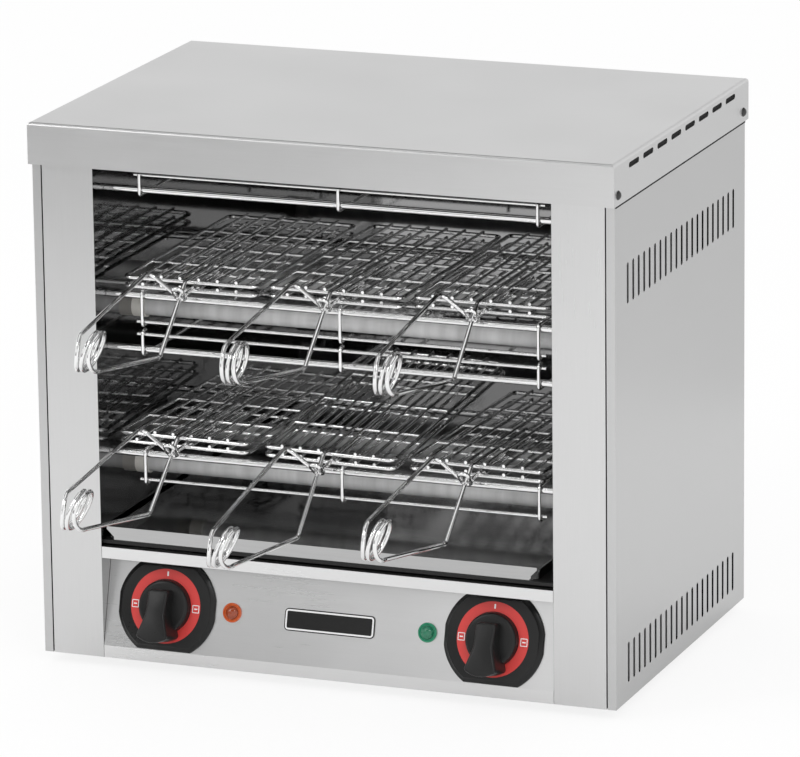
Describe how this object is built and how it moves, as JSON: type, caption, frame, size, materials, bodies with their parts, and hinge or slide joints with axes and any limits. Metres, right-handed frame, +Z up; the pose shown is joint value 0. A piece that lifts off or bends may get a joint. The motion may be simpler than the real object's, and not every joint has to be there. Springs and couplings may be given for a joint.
{
  "type": "clamp toaster",
  "caption": "Two-level stainless clamp toaster with quartz heaters, wire racks, hand-held spring clamps and a crumb tray.",
  "frame": {"origin": "centre of the part's bounding box in plan, on the plane that the feet stand on", "axes": "+X to the user's right along the cover's width, +Y from the open front to the back, +Z up"},
  "size_m": [0.4544, 0.4334, 0.41],
  "materials": {
    "satin_steel": "satin",
    "polished_steel": "polished",
    "chromed_wire": "polished",
    "plated_steel": "satin",
    "quartz": "frosted",
    "ceramic_white": "matte",
    "filament_metal": "matte",
    "black_plastic": "gloss",
    "grey_plastic": "matte",
    "amber_lens": "gloss",
    "green_lens": "gloss",
    "black_screw": "satin",
    "black_rubber": "matte"
  },
  "bodies": {
    "casing": {"top_cover": "satin_steel", "left_side_panel": "satin_steel", "right_side_panel": "satin_steel", "back_panel": "satin_steel", "base_plate": "satin_steel", "left_front_post": "satin_steel", "right_front_post": "satin_steel", "control_panel": "satin_steel", "left_reflector": "polished_steel", "right_reflector": "polished_steel", "rear_reflector": "polished_steel", "ceiling_reflector": "polished_steel", "tray_shelf": "satin_steel", "upper_tubes": "quartz", "middle_tubes": "quartz", "lower_tubes": "quartz", "heater_caps": "ceramic_white", "heater_filaments": "filament_metal", "guard_rods": "chromed_wire", "ceiling_guard_wires": "chromed_wire", "upper_rack_wires": "chromed_wire", "lower_guard_wires": "chromed_wire", "lower_rack_wires": "chromed_wire", "left_knob_plate": "black_plastic", "right_knob_plate": "black_plastic", "left_switch": "grey_plastic", "right_switch": "grey_plastic", "heating_lamp": "amber_lens", "power_lamp": "green_lens", "terminal_block": "grey_plastic", "cable_gland": "black_plastic", "cover_screws": "black_screw", "back_screws": "plated_steel", "feet": "black_rubber"},
    "tray": {"crumb_tray": "polished_steel"},
    "left_dial": {"left_knob": "black_plastic", "left_shaft": "plated_steel"},
    "right_dial": {"right_knob": "black_plastic", "right_shaft": "plated_steel"},
    "upper_left_clamp": {"upper_left_clamp_bottom_jaw": "chromed_wire", "upper_left_clamp_spring": "chromed_wire"},
    "upper_left_jaw": {"upper_left_clamp_top_jaw": "chromed_wire"},
    "upper_middle_clamp": {"upper_middle_clamp_bottom_jaw": "chromed_wire", "upper_middle_clamp_spring": "chromed_wire"},
    "upper_middle_jaw": {"upper_middle_clamp_top_jaw": "chromed_wire"},
    "upper_right_clamp": {"upper_right_clamp_bottom_jaw": "chromed_wire", "upper_right_clamp_spring": "chromed_wire"},
    "upper_right_jaw": {"upper_right_clamp_top_jaw": "chromed_wire"},
    "lower_left_clamp": {"lower_left_clamp_bottom_jaw": "chromed_wire", "lower_left_clamp_spring": "chromed_wire"},
    "lower_left_jaw": {"lower_left_clamp_top_jaw": "chromed_wire"},
    "lower_middle_clamp": {"lower_middle_clamp_bottom_jaw": "chromed_wire", "lower_middle_clamp_spring": "chromed_wire"},
    "lower_middle_jaw": {"lower_middle_clamp_top_jaw": "chromed_wire"},
    "lower_right_clamp": {"lower_right_clamp_bottom_jaw": "chromed_wire", "lower_right_clamp_spring": "chromed_wire"},
    "lower_right_jaw": {"lower_right_clamp_top_jaw": "chromed_wire"}
  },
  "joints": [
    {"name": "tray_slide", "type": "slide", "parent": "casing", "child": "tray", "axis": [0, -1, 0], "range_m": [0, 0.27]},
    {"name": "left_dial_turn", "type": "hinge", "parent": "casing", "child": "left_dial", "pos_m": [-0.128, -0.07469, 0.0495], "axis": [0, -0.9668, 0.2554], "range_deg": [-90, 90]},
    {"name": "right_dial_turn", "type": "hinge", "parent": "casing", "child": "right_dial", "pos_m": [0.128, -0.07469, 0.0495], "axis": [0, -0.9668, 0.2554], "range_deg": [-90, 90]},
    {"name": "upper_left_clamp_pull", "type": "slide", "parent": "casing", "child": "upper_left_clamp", "axis": [0, -1, 0], "range_m": [0, 0.235]},
    {"name": "upper_left_jaw_open", "type": "hinge", "parent": "upper_left_clamp", "child": "upper_left_jaw", "pos_m": [-0.1285, -0.2012, 0.27435], "axis": [1, 0, 0], "range_deg": [0, 3.5], "stiffness_Nm_per_rad": 1.5, "springref_deg": -17.19},
    {"name": "upper_middle_clamp_pull", "type": "slide", "parent": "casing", "child": "upper_middle_clamp", "axis": [0, -1, 0], "range_m": [0, 0.235]},
    {"name": "upper_middle_jaw_open", "type": "hinge", "parent": "upper_middle_clamp", "child": "upper_middle_jaw", "pos_m": [-0.01887, -0.19786, 0.27435], "axis": [0.9998, -0.0175, 0], "range_deg": [0, 3.5], "stiffness_Nm_per_rad": 1.5, "springref_deg": -17.19},
    {"name": "upper_right_clamp_pull", "type": "slide", "parent": "casing", "child": "upper_right_clamp", "axis": [0, -1, 0], "range_m": [0, 0.235]},
    {"name": "upper_right_jaw_open", "type": "hinge", "parent": "upper_right_clamp", "child": "upper_right_jaw", "pos_m": [0.0945, -0.1932, 0.27435], "axis": [1, 0, 0], "range_deg": [0, 3.5], "stiffness_Nm_per_rad": 1.5, "springref_deg": -17.19},
    {"name": "lower_left_clamp_pull", "type": "slide", "parent": "casing", "child": "lower_left_clamp", "axis": [0, -1, 0], "range_m": [0, 0.235]},
    {"name": "lower_left_jaw_open", "type": "hinge", "parent": "lower_left_clamp", "child": "lower_left_jaw", "pos_m": [-0.14437, -0.19626, 0.15485], "axis": [0.999, -0.0436, 0], "range_deg": [0, 3.5], "stiffness_Nm_per_rad": 1.5, "springref_deg": -17.19},
    {"name": "lower_middle_clamp_pull", "type": "slide", "parent": "casing", "child": "lower_middle_clamp", "axis": [0, -1, 0], "range_m": [0, 0.235]},
    {"name": "lower_middle_jaw_open", "type": "hinge", "parent": "lower_middle_clamp", "child": "lower_middle_jaw", "pos_m": [-0.03098, -0.19714, 0.138], "axis": [0.9976, -0.0698, 0], "range_deg": [0, 3.5], "stiffness_Nm_per_rad": 1.5, "springref_deg": -17.19},
    {"name": "lower_right_clamp_pull", "type": "slide", "parent": "casing", "child": "lower_right_clamp", "axis": [0, -1, 0], "range_m": [0, 0.235]},
    {"name": "lower_right_jaw_open", "type": "hinge", "parent": "lower_right_clamp", "child": "lower_right_jaw", "pos_m": [0.08669, -0.19947, 0.15485], "axis": [0.9994, -0.0349, 0], "range_deg": [0, 3.5], "stiffness_Nm_per_rad": 1.5, "springref_deg": -17.19}
  ]
}
